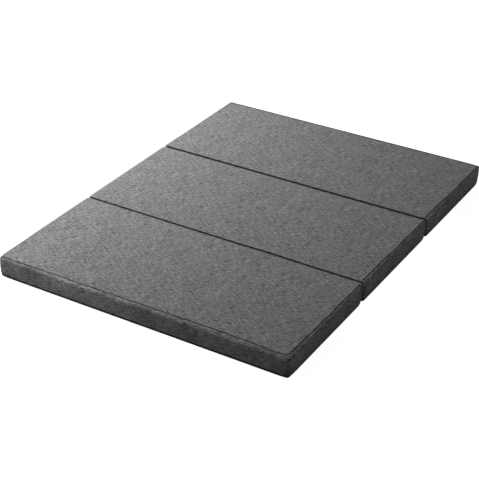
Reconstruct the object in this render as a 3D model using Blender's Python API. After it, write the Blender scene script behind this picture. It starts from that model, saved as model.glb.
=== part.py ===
"""A folding mattress: three foam panels in zipped covers, joined by two hinge tapes.

The panels lie flat, one behind the other along Y, and their fold lines run along X.
The tape between the near and the middle panel joins their bottom edges, and the tape
between the middle and the far panel joins their top edges, so the mattress folds as a Z.
The origin is on the floor under the middle of the mattress, and +Z points up.
All three panels are alike, so each piece of a panel is made once and placed three times.
All lengths are in metres.
"""

import math

import bpy

# The mattress laid flat
mattress_length = 2.000
mattress_width = 1.500
mattress_height = 0.100
panel_names = ("near", "middle", "far")

# The outer shape of a panel
fold_gap = 0.0025
corner_round = 0.015
border_bulge = 0.003
crown_rise = 0.0025
crown_flat_width = 0.250
top_edge_round = 0.0045
bottom_round_in = 0.010
bottom_round_up = 0.014
least_round = 0.0004

# The cover and its seams
fabric_thickness = 0.0016
seam_groove_width = 0.0026
clearance = 0.0003

# The filling
liner_thickness = 0.0005
comfort_foam_height = 0.030

# The tapes that the panels fold on
hinge_tape_thickness = 0.0008
hinge_tape_end_margin = 0.003

# The zip along the left end of each panel
zip_tape_thickness = 0.0006
zip_tape_width = 0.0135
zip_tape_gap = 0.001
zip_tape_tuck = 0.008
border_return_spare = 0.004
slot_play = 0.0007

# The closed chain of the zip
chain_width = 0.006
chain_thickness = 0.0024
chain_end_margin = 0.005
tooth_pitch = 0.004
tooth_depth = 0.0010
teeth_per_section = 8
end_stop_length = 0.0035
end_stop_rise = 0.0006

# The slider of the zip
slider_wall = 0.001
slider_plate = 0.0012
slider_end_reach = 0.0038
slider_nose_taper = 0.0004
slider_shoulder = 0.003
slider_start_play = 0.001
bridge_width = 0.0022
bridge_play = 0.0009
bridge_thickness = 0.0009
bridge_foot = 0.0011

# The pull tab of the slider
pull_width = 0.0072
pull_thickness = 0.0013
pull_arm = 0.0013
pull_neck = 0.0045
pull_grip = 0.0145
pull_end_round = 0.0025

# Fineness of the curved outlines
corner_steps = 3
round_steps = 3
side_steps = 4
crown_ring_shares = (0.12, 0.35, 0.65, 1.0)
tape_steps = 2
overrun = 0.004

# Sizes that follow from the ones above
quarter_turn = math.pi / 2
seam_turn = quarter_turn / 2
panel_count = len(panel_names)
panel_length = (mattress_length - (panel_count - 1) * fold_gap) / panel_count
panel_pitch = panel_length + fold_gap
edge_height = mattress_height - crown_rise
zip_height = mattress_height / 2
bottom_seam_lift = clearance

liner_depth = fabric_thickness + clearance
foam_depth = liner_depth + liner_thickness + clearance
zip_tape_depth = fabric_thickness + clearance
left_room = zip_tape_thickness + clearance

border_end = panel_length / 2 - corner_round - zip_tape_tuck - border_return_spare
strip_end = border_end - clearance
zip_tape_end = border_end + zip_tape_tuck
chain_end = strip_end - chain_end_margin

chain_base = clearance
chain_top = chain_base + chain_thickness
channel_half_width = chain_width / 2 + clearance
channel_top = chain_top + end_stop_rise / 2
slider_half_width = channel_half_width + slider_wall
slider_top = channel_top + slider_plate
slot_half_width = slider_half_width + slot_play

bar_half = pull_thickness / 2
bar_reach = math.hypot(bar_half, bar_half)
bridge_opening = 2 * (bar_reach + clearance)
bridge_inner = bar_reach + clearance + bridge_play
bridge_outer = bridge_inner + bridge_foot
bridge_reach = math.hypot(bridge_outer, bridge_opening / 2 + bridge_thickness)
slider_half_length = bridge_outer + slider_end_reach
slider_start = -chain_end + end_stop_length + slider_start_play + slider_half_length
pull_axis_height = slider_top + bridge_opening / 2
ring_half_width = bridge_width / 2 + clearance
ring_length = bridge_reach + 2 * clearance
pull_length = ring_length + pull_neck + pull_grip + pull_end_round


# Outlines of a panel, as pairs of inset from its widest line and height above the floor

def side_inset(height):
    """How far the bulged side has drawn back at this height."""
    half = mattress_height / 2
    return border_bulge * ((height - half) / half) ** 2


def lower_round(depth):
    """The rounded bottom edge, from its seam under the panel up to the side."""
    base = bottom_seam_lift + depth
    reach = max(bottom_round_in - depth, least_round)
    rise = max(bottom_round_up - depth, least_round)
    points = []
    for step in range(round_steps + 1):
        turn = quarter_turn * step / round_steps
        height = base + rise * (1 - math.cos(turn))
        inset = depth + side_inset(height) + reach * (1 - math.sin(turn))
        points.append((inset, height))
    return points


def upper_radius(depth):
    """Radius of the rounded top edge at this depth below the outside of the cover."""
    return max(top_edge_round - depth, least_round)


def upper_round(depth, first_turn, last_turn):
    """The rounded top edge between two turns, where 0 faces outwards and a quarter up."""
    radius = upper_radius(depth)
    base = edge_height - depth - radius
    points = []
    for step in range(round_steps + 1):
        turn = first_turn + (last_turn - first_turn) * step / round_steps
        height = base + radius * math.sin(turn)
        inset = depth + side_inset(height) + radius * (1 - math.cos(turn))
        points.append((inset, height))
    return points


def side_between(depth, low, high, steps):
    """Points of the bulged side between two heights, without the two ends."""
    points = []
    for step in range(1, steps):
        height = low + (high - low) * step / steps
        points.append((depth + side_inset(height), height))
    return points


def crown_from(edge_point):
    """The gently rising top, from its rounded edge to the flat middle of the panel."""
    inset, height = edge_point
    run = (panel_length - crown_flat_width) / 2 - inset
    points = []
    for share in crown_ring_shares:
        rise = crown_rise * (1 - (1 - share) ** 2)
        points.append((inset + run * share, height + rise))
    return points


def seam_opening(depth):
    """The turn between the middle of the top seam and the fabric beside it."""
    share = depth / fabric_thickness
    half_width = (seam_groove_width * (1 - share) + clearance * share) / 2
    return half_width / upper_radius(depth)


def border_side(depth):
    """The border at this depth, from the bottom seam to the top seam."""
    lower = lower_round(depth)
    upper = upper_round(depth, 0, seam_turn - seam_opening(depth))
    return lower + side_between(depth, lower[-1][1], upper[0][1], side_steps) + upper


def whole_side(depth):
    """The full height of a panel at this depth, up to the middle of its crown."""
    lower = lower_round(depth)
    upper = upper_round(depth, 0, quarter_turn)
    side = side_between(depth, lower[-1][1], upper[0][1], side_steps)
    return lower + side + upper + crown_from(upper[-1])


def inset_at(height):
    """How far the outside of a panel lies inside its widest line at this height."""
    arc_base = edge_height - top_edge_round
    if height > arc_base:
        sine = (height - arc_base) / top_edge_round
        return side_inset(height) + top_edge_round * (1 - math.sqrt(1 - sine ** 2))
    if height < bottom_seam_lift + bottom_round_up:
        cosine = 1 - (height - bottom_seam_lift) / bottom_round_up
        return side_inset(height) + bottom_round_in * (1 - math.sqrt(1 - cosine ** 2))
    return side_inset(height)


def plan_outline(inset, room_on_left=0.0):
    """The rounded outline of a panel in plan, from its near left corner round to the right."""
    radius = max(corner_round - inset, least_round)
    right = mattress_width / 2 - inset - radius
    left = room_on_left - mattress_width / 2 + inset + radius
    end = panel_length / 2 - inset - radius
    centres = ((left, -end), (right, -end), (right, end), (left, end))
    points = []
    for quarter, (x, y) in enumerate(centres):
        for step in range(corner_steps + 1):
            turn = math.pi + quarter_turn * (quarter + step / corner_steps)
            points.append((x + radius * math.cos(turn), y + radius * math.sin(turn)))
    return points


def border_route(inset):
    """The open line that the border follows in plan, with its two returns at the left end."""
    left = inset - mattress_width / 2
    return [(left, -border_end)] + plan_outline(inset) + [(left, border_end)]


# Building blocks

def skin(rings):
    """A closed mesh through rings of points, with its first and last ring filled."""
    size = len(rings[0])
    corners = [corner for ring in rings for corner in ring]
    faces = [tuple(range(size))[::-1]]
    for level in range(len(rings) - 1):
        start = level * size
        for index in range(size):
            following = (index + 1) % size
            faces.append((start + index, start + following,
                          start + size + following, start + size + index))
    faces.append(tuple(range(len(corners) - size, len(corners))))
    return mesh_from(corners, faces)


def mesh_from(corners, faces):
    """A mesh of these corners and faces, turned inside out if its volume is negative."""
    mesh = bpy.data.meshes.new("piece")
    mesh.from_pydata(corners, [], faces)
    mesh.validate()
    volume = 0.0
    mesh.calc_loop_triangles()
    for triangle in mesh.loop_triangles:
        a, b, c = (mesh.vertices[index].co for index in triangle.vertices)
        volume += a.dot(b.cross(c))
    if volume < 0:
        mesh.flip_normals()
    return mesh


def stacked(side, room_on_left=0.0):
    """A closed form whose outline in plan is stacked up through a side's points."""
    rings = []
    for inset, height in side:
        rings.append([(x, y, height) for x, y in plan_outline(inset, room_on_left)])
    return skin(rings)


def wall_section(outer, inner):
    """A strip of fabric in section: up its outer face and down its inner face."""
    return outer + inner[::-1]


def left_wall(section, half_length):
    """A straight strip along the left end of a panel, from a section through it."""
    rings = []
    for y in (-half_length, half_length):
        rings.append([(inset - mattress_width / 2, y, height) for inset, height in section])
    return skin(rings)


def box(low, high):
    """A rectangular block between two corners."""
    rings = []
    for z in (low[2], high[2]):
        rings.append([(low[0], low[1], z), (high[0], low[1], z),
                      (high[0], high[1], z), (low[0], high[1], z)])
    return skin(rings)


def combined(mesh, operation, other):
    """A mesh with another cut from it or joined to it."""
    piece = bpy.data.objects.new("piece", mesh)
    tool = bpy.data.objects.new("tool", other)
    for helper in (piece, tool):
        bpy.context.scene.collection.objects.link(helper)
    modifier = piece.modifiers.new("cut", "BOOLEAN")
    modifier.operation = operation
    modifier.solver = "EXACT"
    modifier.object = tool
    graph = bpy.context.evaluated_depsgraph_get()
    result = bpy.data.meshes.new_from_object(piece.evaluated_get(graph))
    for helper in (piece, tool):
        bpy.data.objects.remove(helper)
    return result


# The pieces of one panel, about the middle of its underside

def top_cover():
    """The crowned sheet of fabric on top, turned down to the seam all round."""
    outer_edge = upper_round(0, seam_turn + seam_opening(0), quarter_turn)
    inner_edge = upper_round(fabric_thickness,
                             seam_turn + seam_opening(fabric_thickness), quarter_turn)
    outer = outer_edge + crown_from(outer_edge[-1])
    inner = inner_edge + crown_from(inner_edge[-1])
    return stacked(inner[::-1] + outer)


def bottom_cover():
    """The flat sheet of non-slip fabric underneath, inside the bottom seam."""
    seam_inset = lower_round(0)[0][0] + clearance
    low = (seam_inset + seam_groove_width / 2, 0)
    high = (seam_inset, fabric_thickness)
    return stacked([low, high])


def border():
    """The strip of fabric round the near, right and far sides, open at the zip."""
    section = wall_section(border_side(0), border_side(fabric_thickness))
    routes = [border_route(inset) for inset, height in section]
    rings = []
    for station in range(len(routes[0])):
        ring = []
        for route, (inset, height) in zip(routes, section):
            ring.append((*route[station], height))
        rings.append(ring)
    return skin(rings)


def zip_strip(above):
    """The strip of fabric above or below the zip, from its free edge to the seam."""
    direction = 1 if above else -1
    free_edge = zip_height + direction * slot_half_width
    sides = []
    for depth in (0, fabric_thickness):
        if above:
            seam_end = upper_round(depth, 0, seam_turn - seam_opening(depth))
        else:
            seam_end = lower_round(depth)[::-1]
        middle = side_between(depth, free_edge, seam_end[0][1], side_steps)
        sides.append([(depth + side_inset(free_edge), free_edge)] + middle + seam_end)
    return left_wall(wall_section(*sides), strip_end)


def zip_tape(direction):
    """One of the two tapes behind the zip, above the chain (1) or below it (-1)."""
    sides = []
    for depth in (zip_tape_depth, zip_tape_depth + zip_tape_thickness):
        side = []
        for step in range(tape_steps + 1):
            offset = zip_tape_gap / 2 + zip_tape_width * step / tape_steps
            height = zip_height + direction * offset
            side.append((depth + side_inset(height), height))
        sides.append(side)
    return left_wall(wall_section(*sides), zip_tape_end)


def zip_chain():
    """The closed chain: a row of ribs between two end stops, on a flat back."""
    stop_face = chain_top + end_stop_rise
    teeth_start = -chain_end + end_stop_length
    teeth_length = 2 * (chain_end - end_stop_length)
    tooth_count = round(teeth_length / tooth_pitch)
    pitch = teeth_length / tooth_count

    # Sections along the chain, each a list of places and heights of its outer face
    valley = chain_top - tooth_depth
    sections = [[(-chain_end, stop_face), (teeth_start, stop_face), (teeth_start, valley)]]
    first = 0
    while first < tooth_count:
        last = min(first + teeth_per_section, tooth_count)
        face = [(teeth_start + first * pitch, valley)]
        for tooth in range(first, last):
            face.append((teeth_start + (tooth + 1 / 2) * pitch, chain_top))
            face.append((teeth_start + (tooth + 1) * pitch, valley))
        sections.append(face)
        first = last
    sections.append([(-teeth_start, valley), (-teeth_start, stop_face), (chain_end, stop_face)])

    corners = []
    faces = []
    places = {}

    def corner(y, outward, side):
        key = (round(y / clearance, 3), round(outward / clearance, 3), side)
        if key not in places:
            places[key] = len(corners)
            corners.append((-outward, y, side * chain_width / 2))
        return places[key]

    for face in sections:
        back = [(face[0][0], chain_base), (face[-1][0], chain_base)]
        for side in (-1, 1):
            loop = [corner(y, outward, side) for y, outward in face + back[::-1]]
            faces.append(loop if side > 0 else loop[::-1])
        for (y, outward), (next_y, next_outward) in zip(face, face[1:]):
            faces.append([corner(y, outward, -1), corner(next_y, next_outward, -1),
                          corner(next_y, next_outward, 1), corner(y, outward, 1)])
        faces.append([corner(*back[0], 1), corner(*back[1], 1),
                      corner(*back[1], -1), corner(*back[0], -1)])

    for y in (-chain_end, chain_end):
        loop = [corner(y, chain_base, -1), corner(y, stop_face, -1),
                corner(y, stop_face, 1), corner(y, chain_base, 1)]
        faces.append(loop if y < 0 else loop[::-1])
    return mesh_from(corners, faces)


def zip_slider():
    """The slider: a plate with two walls down beside the chain, and a bridge for the pull."""
    nose = slider_half_width - slider_nose_taper
    shoulder = slider_half_length - slider_shoulder
    plan = ((-slider_half_length, nose), (-shoulder, slider_half_width),
            (shoulder, slider_half_width), (slider_half_length, nose))
    outline = [(y, -half_width) for y, half_width in plan]
    outline += [(y, half_width) for y, half_width in plan[::-1]]
    rings = []
    for outward in (chain_base, slider_top):
        rings.append([(-outward, y, z) for y, z in outline])
    reach = slider_half_length + overrun
    channel = box((-channel_top, -reach, -channel_half_width),
                  (overrun, reach, channel_half_width))
    body = combined(skin(rings), "DIFFERENCE", channel)

    # The bridge is an arch that stands on the plate, with its feet let into it
    foot = slider_top - slider_plate / 2
    spring = slider_top + bridge_opening / 2
    inside_top = slider_top + bridge_opening
    outside_top = inside_top + bridge_thickness
    arch = ((-bridge_outer, foot), (-bridge_outer, spring), (-bridge_inner, outside_top),
            (bridge_inner, outside_top), (bridge_outer, spring), (bridge_outer, foot),
            (bridge_inner, foot), (bridge_inner, inside_top),
            (-bridge_inner, inside_top), (-bridge_inner, foot))
    rings = []
    for z in (-bridge_width / 2, bridge_width / 2):
        rings.append([(-outward, y, z) for y, outward in arch])
    return combined(body, "UNION", skin(rings))


def zip_pull():
    """The pull tab: a flat tab whose ring goes round the bridge, about its own bar."""
    head = ring_half_width + pull_arm
    shoulder = ring_length + pull_neck
    half_width = pull_width / 2
    end_round = min(pull_end_round, half_width - least_round)
    edge = [(-bar_half, head), (ring_length, head), (shoulder, half_width)]
    for step in range(corner_steps + 1):
        turn = quarter_turn * step / corner_steps
        edge.append((pull_length - end_round * (1 - math.sin(turn)),
                     half_width - end_round * (1 - math.cos(turn))))
    outline = [(y, -half) for y, half in edge] + [(y, half) for y, half in edge[::-1]]
    rings = []
    for outward in (-bar_half, bar_half):
        rings.append([(-outward, y, z) for y, z in outline])
    hole = box((-overrun, bar_half, -ring_half_width), (overrun, ring_length, ring_half_width))
    return combined(skin(rings), "DIFFERENCE", hole)


def base_foam():
    """The thick block of support foam at the bottom."""
    lower = lower_round(foam_depth)
    top = mattress_height - comfort_foam_height - clearance / 2
    side = side_between(foam_depth, lower[-1][1], top, side_steps)
    return stacked(lower + side + [(foam_depth + side_inset(top), top)], left_room)


def comfort_foam():
    """The softer sheet of foam on top, crowned like the cover over it."""
    base = mattress_height - comfort_foam_height + clearance / 2
    upper = upper_round(foam_depth, 0, quarter_turn)
    side = [(foam_depth + side_inset(base), base)]
    side += side_between(foam_depth, base, upper[0][1], side_steps)
    return stacked(side + upper + crown_from(upper[-1]), left_room)


def inner_liner():
    """The thin sleeve round both foams, open at the end with the zip."""
    outside = stacked(whole_side(liner_depth), left_room)
    inside = stacked(whole_side(liner_depth + liner_thickness), -overrun)
    return combined(outside, "DIFFERENCE", inside)


# The tapes between the panels, about a point on the floor below the fold

def hinge_tape(low):
    """A tape across a fold, from its lower face, with its edges along the two panels."""
    half_length = mattress_width / 2 - corner_round - hinge_tape_end_margin
    section = []
    for height in (low, low + hinge_tape_thickness):
        reach = fold_gap / 2 + inset_at(height) - clearance
        section.append(((-reach, height), (reach, height)))
    loop = (*section[0], *section[1][::-1])
    rings = []
    for x in (-half_length, half_length):
        rings.append([(x, y, height) for y, height in loop])
    return skin(rings)


# Materials

def material(name, colour, roughness, metallic=0.0):
    """A plain surface of one colour."""
    made = bpy.data.materials.new(name)
    made.use_nodes = True
    shader = made.node_tree.nodes["Principled BSDF"]
    shader.inputs["Base Color"].default_value = (*colour, 1.0)
    shader.inputs["Roughness"].default_value = roughness
    shader.inputs["Metallic"].default_value = metallic
    return made


def place(name, mesh, location, parent=None):
    """An object at a world location, carried by its parent; an empty where mesh is None."""
    piece = bpy.data.objects.new(name, mesh)
    bpy.context.scene.collection.objects.link(piece)
    origin = (0.0, 0.0, 0.0)
    if parent is not None:
        piece.parent = parent
        origin = parent["place"]
    piece.location = [here - there for here, there in zip(location, origin)]
    piece["place"] = location
    return piece


def finished(mesh, surface):
    """A piece's mesh with its material."""
    mesh.materials.clear()
    mesh.materials.append(surface)
    return mesh


for leftover in list(bpy.data.objects):
    bpy.data.objects.remove(leftover)

cover_grey = material("cover_fabric", (0.085, 0.087, 0.090), 0.95)
border_grey = material("border_fabric", (0.070, 0.072, 0.075), 0.95)
underside_grey = material("non_slip_fabric", (0.045, 0.046, 0.048), 0.90)
tape_grey = material("zip_tape", (0.030, 0.031, 0.033), 0.90)
chain_grey = material("zip_chain", (0.025, 0.026, 0.028), 0.45)
slider_metal = material("zip_metal", (0.090, 0.092, 0.096), 0.35, 1.0)
liner_white = material("liner_fabric", (0.80, 0.80, 0.78), 0.90)
base_white = material("support_foam", (0.82, 0.80, 0.72), 0.95)
comfort_blue = material("comfort_foam", (0.62, 0.72, 0.80), 0.95)

panel_meshes = {
    "base_foam": finished(base_foam(), base_white),
    "comfort_foam": finished(comfort_foam(), comfort_blue),
    "inner_liner": finished(inner_liner(), liner_white),
    "bottom_cover": finished(bottom_cover(), underside_grey),
    "border": finished(border(), border_grey),
    "zip_strip_upper": finished(zip_strip(True), border_grey),
    "zip_strip_lower": finished(zip_strip(False), border_grey),
    "top_cover": finished(top_cover(), cover_grey),
    "zip_tape_upper": finished(zip_tape(1), tape_grey),
    "zip_tape_lower": finished(zip_tape(-1), tape_grey),
}
chain_mesh = finished(zip_chain(), chain_grey)
slider_mesh = finished(zip_slider(), slider_metal)
pull_mesh = finished(zip_pull(), slider_metal)

# The far panel stays down, the middle one turns about the top of the fold between them,
# and the near one about the bottom of the fold that it shares with the middle one
upper_fold = (0.0, panel_pitch / 2, mattress_height + clearance)
lower_fold = (0.0, -panel_pitch / 2, -clearance)
far_carrier = place("far_panel_rest", None, (0.0, panel_pitch, 0.0))
middle_carrier = place("middle_panel_fold", None, upper_fold, far_carrier)
near_carrier = place("near_panel_fold", None, lower_fold, middle_carrier)
carriers = {"near": near_carrier, "middle": middle_carrier, "far": far_carrier}

zip_face = zip_tape_depth - mattress_width / 2
for number, panel in enumerate(panel_names):
    centre = (number - (panel_count - 1) / 2) * panel_pitch
    carrier = carriers[panel]
    for part, mesh in panel_meshes.items():
        place(f"{panel}_{part}", mesh, (0.0, centre, 0.0), carrier)
    place(f"{panel}_zip_chain", chain_mesh, (zip_face, centre, zip_height), carrier)
    slider = place(f"{panel}_zip_slider", slider_mesh,
                   (zip_face, centre + slider_start, zip_height), carrier)
    place(f"{panel}_zip_pull", pull_mesh,
          (zip_face - pull_axis_height, centre + slider_start, zip_height), slider)

lower_tape = finished(hinge_tape(clearance), tape_grey)
place("near_middle_hinge_tape", lower_tape, (0.0, -panel_pitch / 2, 0.0), middle_carrier)
upper_seam_height = edge_height - top_edge_round * (1 - math.sin(seam_turn))
upper_tape = finished(hinge_tape(upper_seam_height - hinge_tape_thickness / 2), tape_grey)
place("middle_far_hinge_tape", upper_tape, (0.0, panel_pitch / 2, 0.0), far_carrier)
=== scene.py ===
"""The looks of a folding mattress: three soft panels in sewn covers, laid flat.

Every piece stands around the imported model, which is in metres with +Z up. Each panel's
cover is one section, from its crown over the top seam and down to the seam underneath.
A cloth simulation of the whole cover gives the fine unevenness of the fabric, and the
seams, lips and puckers are built on top of it.
"""

import math
from collections import namedtuple

import bpy
import numpy as np
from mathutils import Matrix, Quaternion, Vector


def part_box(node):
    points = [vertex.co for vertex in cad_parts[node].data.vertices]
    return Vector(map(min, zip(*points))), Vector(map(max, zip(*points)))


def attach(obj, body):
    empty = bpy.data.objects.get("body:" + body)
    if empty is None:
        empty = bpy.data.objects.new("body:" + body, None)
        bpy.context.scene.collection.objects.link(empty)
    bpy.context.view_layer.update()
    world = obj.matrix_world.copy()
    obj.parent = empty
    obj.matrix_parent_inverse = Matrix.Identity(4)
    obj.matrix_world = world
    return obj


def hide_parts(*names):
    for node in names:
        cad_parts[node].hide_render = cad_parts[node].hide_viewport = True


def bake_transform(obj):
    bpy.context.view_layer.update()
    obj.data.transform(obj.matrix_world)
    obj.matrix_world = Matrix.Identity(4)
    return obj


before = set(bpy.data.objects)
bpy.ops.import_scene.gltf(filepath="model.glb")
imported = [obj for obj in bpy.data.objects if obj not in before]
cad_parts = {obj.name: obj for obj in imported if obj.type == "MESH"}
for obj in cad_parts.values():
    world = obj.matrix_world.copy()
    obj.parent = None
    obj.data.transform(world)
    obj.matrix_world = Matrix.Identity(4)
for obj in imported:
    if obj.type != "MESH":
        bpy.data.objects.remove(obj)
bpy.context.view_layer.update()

mm = 0.001
quarter_turn = math.pi / 2

# The panels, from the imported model
panel_names = ("near", "middle", "far")
border_low, border_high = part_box("middle_border")
half_width = border_high.x
half_length = (border_high.y - border_low.y) / 2
top_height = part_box("middle_top_cover")[1].z
strip_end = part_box("middle_zip_strip_upper")[1].y
slot_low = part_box("middle_zip_strip_lower")[1].z
slot_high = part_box("middle_zip_strip_upper")[0].z
border_end = strip_end + 0.3 * mm
zip_height = (slot_low + slot_high) / 2
centre_of = {}
for panel in panel_names:
    low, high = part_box(f"{panel}_border")
    centre_of[panel] = (low.y + high.y) / 2

# The outline of a panel in plan
corner_round = 16 * mm
border_bulge = 1.5 * mm

# The rounded top edges with their seam: open ones, sharper ones at a fold, and the zip's end
TopEdge = namedtuple("TopEdge", "round_in round_down seam_turn groove_half")
open_edge = TopEdge(14 * mm, 10 * mm, math.radians(90), 2.6 * mm)
fold_edge = TopEdge(5.5 * mm, 5.5 * mm, math.radians(46), 2.3 * mm)
zip_edge = TopEdge(10 * mm, 10 * mm, math.radians(34), 1.6 * mm)
edges = (open_edge, fold_edge, zip_edge)
crown_rise = 1.3 * mm
crown_drop = 0.6 * mm
crown_run = 200 * mm
groove_depth = 3.0 * mm
lip_round = 0.8 * mm
binding_depth = 0.4 * mm
binding_thickness = 1.2 * mm
lip_steps = 4
round_steps = 7
side_rows = 13
flap_rows = 7
hem_steps = 4
wall = 1.6 * mm

# The rounded bottom edge and the seam on it
bottom_lift = 0.3 * mm
bottom_in = 4 * mm
bottom_up = 18 * mm
bottom_sag = 0.2 * mm
bottom_seam_high = math.radians(80)
bottom_seam_low = math.radians(62)

# The grid of the flat faces
column_pitch = 8 * mm
corner_pitch = 3 * mm
coil_pitch = 1.5 * mm
pitch_growth = 1.15
margin_width = 44 * mm
least_lift = -1.3 * mm
margin_shares = (0.16, 0.34, 0.53, 0.71, 0.87)

edge_height = top_height - crown_drop - crown_rise


# Small helpers

def smooth(share):
    """A share from 0 to 1 with soft ends."""
    share = np.clip(share, 0.0, 1.0)
    return share * share * (3 - 2 * share)


def soft_limit(values, low, high):
    """Values held between two limits without a hard corner."""
    return np.where(values < 0, low * np.tanh(values / low), high * np.tanh(values / high))


def hill(distance, width):
    """A smooth hill of height 1 over a distance from its middle."""
    return np.exp(-(distance / width) ** 2)


def waves(places, longest, shortest, count, seed):
    """Smooth random waves along a line, of about unit height."""
    random = np.random.default_rng(seed)
    total = np.zeros_like(places)
    for wave in range(count):
        length = longest * (shortest / longest) ** (wave / max(count - 1, 1))
        length *= random.uniform(0.85, 1.18)
        total += np.sin(2 * math.pi * (places / length + random.uniform(0, 1)))
    return total / math.sqrt(count / 2)


# The outline in plan, followed from the middle of the left end round by the near side

straight_x = half_width - corner_round
straight_y = half_length - corner_round
arc_length = quarter_turn * corner_round
outline_runs = [straight_y, arc_length, 2 * straight_x, arc_length, 2 * straight_y,
                arc_length, 2 * straight_x, arc_length, straight_y]
outline_marks = np.concatenate(([0.0], np.cumsum(outline_runs)))
outline_length = outline_marks[-1]


run_starts = np.array([(-half_width, 0.0), (0, 0), (-straight_x, -half_length), (0, 0),
                       (half_width, -straight_y), (0, 0), (straight_x, half_length), (0, 0),
                       (-half_width, straight_y)])
corner_centres = np.array([(-straight_x, -straight_y), (straight_x, -straight_y),
                           (straight_x, straight_y), (-straight_x, straight_y)])


def outline_run(along):
    """Which of the nine runs of the outline a distance along it lies on."""
    return np.clip(np.searchsorted(outline_marks, along, side="right") - 1, 0, 8)


def outline_place(along):
    """Places on the outline and their outward directions, from distances along it."""
    along = np.mod(np.asarray(along, float), outline_length)
    run = outline_run(along)
    local = along - outline_marks[run]
    corner = (run + 1) // 2
    on_corner = run % 2 == 1
    turns = math.pi + quarter_turn * corner - np.where(on_corner, quarter_turn, 0.0)
    turns += np.where(on_corner, local / corner_round, 0.0)
    outward = np.stack([np.cos(turns), np.sin(turns)], -1)
    forward = np.stack([-outward[..., 1], outward[..., 0]], -1)
    straight = run_starts[run] + forward * local[..., None]
    rounded = corner_centres[np.clip(corner - 1, 0, 3)] + outward * corner_round
    return np.where(on_corner[..., None], rounded, straight), outward


def outline_distance(x, y):
    """The distance along the outline of the place on it that is nearest to a point."""
    x = np.asarray(x, float)
    y = np.asarray(y, float)
    over_x = np.abs(x) - straight_x
    over_y = np.abs(y) - straight_y
    angle = np.mod(np.arctan2(np.sign(y) * np.maximum(over_y, 1e-9),
                              np.sign(x) * np.maximum(over_x, 1e-9)) - math.pi, 2 * math.pi)
    quarter = np.clip(np.floor(angle / quarter_turn), 0, 3).astype(int)
    on_corner = outline_marks[2 * quarter + 1] + (angle - quarter * quarter_turn) * corner_round
    near_end = over_x - half_width + straight_x > over_y - half_length + straight_y
    left = np.where(y <= 0, -y, outline_length - y)
    right = outline_marks[4] + straight_y + y
    near = outline_marks[2] + straight_x + x
    far = outline_marks[6] + straight_x - x
    on_side = np.where(near_end, np.where(x < 0, left, right), np.where(y < 0, near, far))
    return np.where((over_x > 0) & (over_y > 0), on_corner, on_side)


# The section of the cover, as rows of inset, height, outward and up

def side_inset(height):
    """How far the bulged side has drawn back at this height."""
    middle = top_height / 2
    return border_bulge * ((height - middle) / middle) ** 2


def edge_row(edge, turn, depth=0.0):
    """A row on a rounded top edge, at a turn from facing outwards to facing up and beyond."""
    bend = min(turn, quarter_turn)
    level_run = (turn - bend) * edge.round_in
    height = edge_height - edge.round_down * (1 - math.sin(bend))
    inset = side_inset(height) + edge.round_in * (1 - math.cos(bend)) + level_run
    outward = edge.round_down * math.cos(bend)
    up = edge.round_in * math.sin(bend)
    length = math.hypot(outward, up)
    outward, up = outward / length, up / length
    return (inset + depth * outward, height - depth * up, outward, up)


def seam_rows(edge, side):
    """Rows from the bottom of the seam's groove up over the lip, on one side of the seam."""
    turn = edge.seam_turn + side * (edge.groove_half + lip_round) / edge.round_in
    inset, height, outward, up = edge_row(edge, turn, lip_round)
    rows = []
    for depth in (groove_depth - lip_round, (groove_depth - lip_round) / 2):
        rows.append((inset - side * lip_round * up + depth * outward,
                     height - side * lip_round * outward - depth * up,
                     side * up, -side * outward))
    for step in range(lip_steps + 1):
        lean = quarter_turn * (1 - step / lip_steps)
        out = math.cos(lean) * outward + side * math.sin(lean) * up
        rise = math.cos(lean) * up - side * math.sin(lean) * outward
        rows.append((inset - lip_round * out, height + lip_round * rise, out, rise))
    return rows, turn


def bottom_row(turn, depth=0.0):
    """A row on the rounded bottom edge, at a turn from facing down to facing outwards."""
    height = bottom_lift + bottom_up * (1 - math.cos(turn))
    inset = side_inset(height) + bottom_in * (1 - math.sin(turn))
    outward = math.sin(turn)
    up = -math.cos(turn)
    return (inset + depth * outward, height - depth * up, outward, up)


def bottom_hem(turn, side):
    """Two rows that turn in to the bottom seam, from above it (-1) or from below it (1)."""
    return [bottom_row(turn + side * math.radians(5), 0.4 * lip_round),
            bottom_row(turn + side * math.radians(6), 1.6 * lip_round)]


def bottom_lip_rows():
    """The lowest rows of the border, turned in to the seam near the bottom edge."""
    turns = np.linspace(quarter_turn, bottom_seam_high, 3)
    return [bottom_row(turn) for turn in turns] + bottom_hem(bottom_seam_high, -1)


def side_row(height, depth=0.0):
    """A row on the upright side."""
    return (depth + side_inset(height), height, 1.0, 0.0)


def side_run(start, end, count):
    """Rows on the upright side between two heights, without the ends."""
    return [side_row(start + (end - start) * step / count) for step in range(1, count)]


side_bottom = bottom_lift + bottom_up


def side_top(edge):
    """The height where a side begins to round over to the top."""
    return edge_height - edge.round_down


def round_rows(edge):
    """Rows from the groove of the top seam down over the rounding to the side."""
    rows, turn = seam_rows(edge, -1)
    return rows + [edge_row(edge, turn * (1 - step / round_steps))
                   for step in range(1, round_steps + 1)]


def border_rows(edge):
    """The outside of the border, from the groove of the top seam to the bottom seam."""
    return (round_rows(edge) + side_run(side_top(edge), side_bottom, side_rows)
            + bottom_lip_rows())


def top_back_rows(edge):
    """The hidden inner face of a strip, from its side up to the top seam."""
    return [side_row(side_top(edge) - 3 * wall, 2 * wall),
            edge_row(edge, math.radians(12), 2 * wall),
            edge_row(edge, edge.seam_turn * 0.6, 1.9 * wall)]


def border_back(edge):
    """The hidden inner face of the border, from the bottom seam back to the top one."""
    return [bottom_row(bottom_seam_high, 1.8 * wall), side_row(side_bottom + 3 * wall, 2 * wall),
            side_row(top_height / 2, 2 * wall)] + top_back_rows(edge)


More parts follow.
